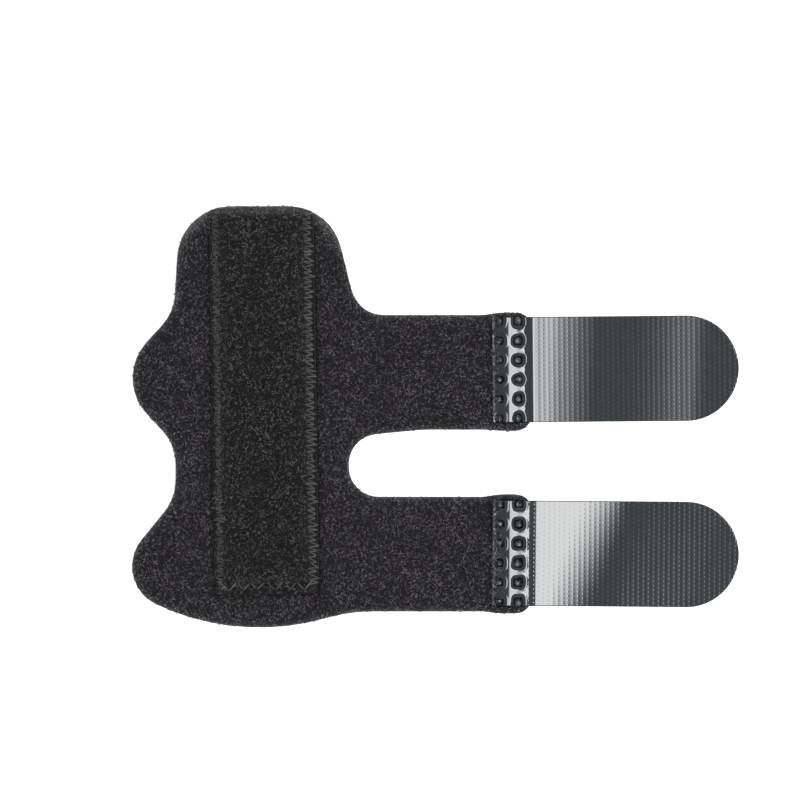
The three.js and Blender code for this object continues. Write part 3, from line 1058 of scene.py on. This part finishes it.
def loop_turns(normals, rng):
    """Matrices that stand loops on a surface, turned at random about its normal and leaning over."""
    count = len(normals)
    angle = rng.uniform(0, 2 * math.pi, count)
    helper = np.column_stack((np.cos(angle), np.sin(angle), np.zeros(count)))
    side = np.cross(normals, helper)
    side /= np.maximum(np.linalg.norm(side, axis=1), 1e-9)[:, None]
    ahead = np.cross(side, normals)
    over, along = LOOP_LEAN * rng.normal(0, 1, (2, count, 1))
    up = normals + over * side + 0.3 * along * ahead
    scale = rng.uniform(*LOOP_SIZES, (3, count, 1))
    return np.stack((ahead * scale[0], side * scale[1], up * scale[2]), axis=2)


def sow_loops(name, piece, density, keep, material, slot, seed, fibre, span, height, rim=0.0):
    """Covers part of a piece with curled loops of yarn, with a painted highlight by the rim's share at the
    pad's cut edge.
    """
    rng = np.random.default_rng(seed)
    points, normals = surface_points(piece, density, keep, rng)
    shape = spun_strand(fibre, span / 2, math.radians(190), 2, 3, drift=0.35 * span)
    matrices = loop_turns(normals, rng)
    matrices[:, :, 2] *= height
    slow = 1 + 0.16 * waves(*points.T[:2], 14 * MM, 21)
    # Painted highlight on the loops near the pad's cut edge
    lift = rim * rim_highlight_share(points) if rim else 0
    tones = np.clip(rng.random(len(points)) * slow + lift, 0, 1)
    pile = joined_copies(name, shape, matrices, points - 0.3 * fibre * normals, tones)
    return dress(pile, material)


def clear_of_film(x, y):
    """False under the film of the tabs."""
    clear = np.ones(len(x), bool)
    for tab in TABS.values():
        clear &= (x < tab.start.x + 1.0 * MM) | (np.abs(y - tab.start.y) > TAPE_WIDTH / 2 + 0.1 * MM)
    return clear


def pad_pile_share(part, centres, normals):
    """Where one part of the pad bears loops: on its upper face, clear of the tape and of the film."""
    x, y, _ = centres.T
    low, high = part
    here = (x >= low * MM) & (x < high * MM)
    u, v = pocket_coordinates(x, y)
    gap = np.where(u < 0, PAD_GAP["left"], PAD_GAP["right"])
    clear = (tape_distance(x, y) > gap) | (v > POCKET_HALF_LENGTH)
    return here & (normals[:, 2] > UPWARD) & clear & clear_of_film(x, y)


def pocket_pile_share(part, centres, normals):
    """How densely one part of the tape bears loops: less at the seam and mouth, none at its right edge."""
    u, v = pocket_coordinates(*centres.T[:2])
    low, high = part
    pocket, seam = settings("pocket"), settings("seam")
    inner = pocket.width / 2 - seam.inset - 0.5 * seam.width
    above_end = np.abs(v + POCKET_HALF_LENGTH - seam.end_inset) > 0.45 * seam.end_width
    on_seam = np.where(u < 0, LEFT_SEAM_PILE, SEAM_PILE)
    share = np.where((np.abs(u) < inner) & above_end, 1, on_seam)
    share = np.where(u > pocket.width / 2 - BARE_EDGE, 0, share)
    share = np.where(v > POCKET_HALF_LENGTH - MOUTH_REACH, MOUTH_PILE, share)
    return share * (normals[:, 2] > UPWARD) * (v >= low * MM) * (v < high * MM)


def fray_share(start, centres, normals):
    """How densely the strap's loops lie over a tab's welded end, less and less along it."""
    past = (centres[:, 0] - start) / FRAY_REACH
    return (normals[:, 2] > 0.2) * np.clip(1 - past, 0, 1) ** 1.5


class SPLINT_OT_pile(bpy.types.Operator):
    """Covers the pad and the pocket with a pile of fine loops"""

    bl_idname = "splint.pile"
    bl_label = "Pile"

    def execute(self, context):
        pile = settings("pile")
        pad_yarn = yarn_material("pad_yarn", pile.dark, pile.light, 2.2)
        pocket_yarn = yarn_material("pocket_yarn", pile.dark, pile.pocket_light, 3.5)
        pad = bpy.data.objects["pad_cloth"]
        sleeve = bpy.data.objects["pocket_sleeve"]
        for number, part in enumerate(zip(PAD_PARTS, PAD_PARTS[1:])):
            keep = partial(pad_pile_share, part)
            yarn = (pad_yarn, "laminate", pile.seed + number, pile.fibre, pile.span, 0.8, pile.rim)
            sow_loops(f"pad_pile_{number + 1}", pad, pile.pad_density, keep, *yarn)
        for number, part in enumerate(zip(POCKET_PARTS, POCKET_PARTS[1:])):
            keep = partial(pocket_pile_share, part)
            fibre, span = pile.pocket_fibre, pile.pocket_span
            yarn = (pocket_yarn, "loop_tape", pile.seed + 5 + number, fibre, span, 0.8, pile.rim)
            sow_loops(f"pocket_pile_{number + 1}", sleeve, pile.pocket_density, keep, *yarn)
        for number, name in enumerate(TABS):
            keep = partial(fray_share, TABS[name].start.x)
            yarn = (pad_yarn, "laminate", pile.seed + 8 + number, pile.fibre, 1.3 * pile.span, 0.7)
            sow_loops(f"{name}_fray", bpy.data.objects[f"{name}_tab_film"], FRAY_DENSITY, keep, *yarn)
        return {"FINISHED"}


# Stage

# The softbox's even part, and how its radiance fades towards its left edge: places in metres and shares
SOFTBOX_EVEN = (0.24, 0.40)
SOFTBOX_FADE = (
    (0.085, 0), (0.10, 0.02), (0.12, 0.07), (0.14, 0.14), (0.16, 0.29), (0.18, 0.5), (0.20, 0.7),
    (0.22, 0.9), (0.24, 1),
)
SOFTBOX_STRIPS = 15
SOFTBOX_DEPTH = 0.4
SOFTBOX_HEIGHT = 0.8
FLOOR_SIZE = 4
SKY = (0.97, 0.985, 1.0, 1)
SENSOR_WIDTH = 36
PICTURE_CENTRE = Vector((25.8 * MM, 12.0 * MM, 0))


def softbox(name, place, size, radiance):
    """A rectangular light that faces straight down and that the camera can't see."""
    light = bpy.data.lights.new(name, "AREA")
    light.shape = "RECTANGLE"
    light.size, light.size_y = size
    light.energy = radiance * math.pi * size[0] * size[1]
    holder = new_object(name, light)
    holder.location = place
    holder.visible_camera = False


class SPLINT_OT_stage(bpy.types.Operator):
    """Sets up the floor, the light and the camera above the splint"""

    bl_idname = "splint.stage"
    bl_label = "Stage"

    def execute(self, context):
        stage = settings("stage")
        deselect_all()
        bpy.ops.mesh.primitive_plane_add(size=FLOOR_SIZE, location=(0, 0, 0))
        floor = bpy.context.object
        floor.name = "floor"
        floor.data.materials.append(floor_material(stage))
        world = bpy.data.worlds.new("daylight")
        context.scene.world = world
        world.use_nodes = True
        sky = world.node_tree.nodes["Background"]
        sky.inputs["Color"].default_value = SKY
        sky.inputs["Strength"].default_value = stage.daylight
        fade = np.array(SOFTBOX_FADE).T
        edges = np.linspace(fade[0, 0], fade[0, -1], SOFTBOX_STRIPS + 1)
        panels = [SOFTBOX_EVEN, *zip(edges, edges[1:])]
        for number, (left, right) in enumerate(panels):
            middle = (left + right) / 2
            radiance = stage.softbox * float(np.interp(middle, *fade))
            size = (right - left, SOFTBOX_DEPTH)
            softbox(f"softbox_{number}", (middle, 0, SOFTBOX_HEIGHT), size, radiance)
        camera = new_object("camera", bpy.data.cameras.new("camera"))
        camera.location = PICTURE_CENTRE + Vector((0, 0, stage.camera_height))
        camera.data.sensor_width = SENSOR_WIDTH
        camera.data.lens = SENSOR_WIDTH * stage.camera_height / stage.view_width
        camera.data.clip_start, camera.data.clip_end = 0.01, 10
        context.scene.camera = camera
        context.scene.view_settings.view_transform = "Standard"
        return {"FINISHED"}


OPERATORS = (
    SPLINT_OT_pad,
    SPLINT_OT_pocket,
    SPLINT_OT_seam,
    SPLINT_OT_tabs,
    SPLINT_OT_hooks,
    SPLINT_OT_pile,
    SPLINT_OT_stage,
)


class SPLINT_PT_panel(bpy.types.Panel):
    """Lists the splint's pieces and their sizes"""

    bl_label = "Finger Splint"
    bl_idname = "SPLINT_PT_panel"
    bl_space_type = "VIEW_3D"
    bl_region_type = "UI"
    bl_category = "Splint"

    def draw(self, context):
        for operator in OPERATORS:
            self.layout.operator(operator.bl_idname)
        for group in SETTINGS:
            kind = kind_of(group)
            box = self.layout.box()
            box.label(text=kind.title())
            for name in group.__annotations__:
                box.prop(settings(kind), name)


def register():
    for group in SETTINGS:
        bpy.utils.register_class(group)
        setattr(bpy.types.Scene, f"splint_{kind_of(group)}", bpy.props.PointerProperty(type=group))
    for panel_or_operator in (*OPERATORS, SPLINT_PT_panel):
        bpy.utils.register_class(panel_or_operator)


def unregister():
    for panel_or_operator in (SPLINT_PT_panel, *reversed(OPERATORS)):
        bpy.utils.unregister_class(panel_or_operator)
    for group in reversed(SETTINGS):
        delattr(bpy.types.Scene, f"splint_{kind_of(group)}")
        bpy.utils.unregister_class(group)


def main():
    register()
    bpy.ops.splint.pad()
    bpy.ops.splint.pocket()
    bpy.ops.splint.seam()
    bpy.ops.splint.tabs()
    bpy.ops.splint.hooks()
    bpy.ops.splint.pile()
    bpy.ops.splint.stage()


if __name__ == "__main__":
    main()
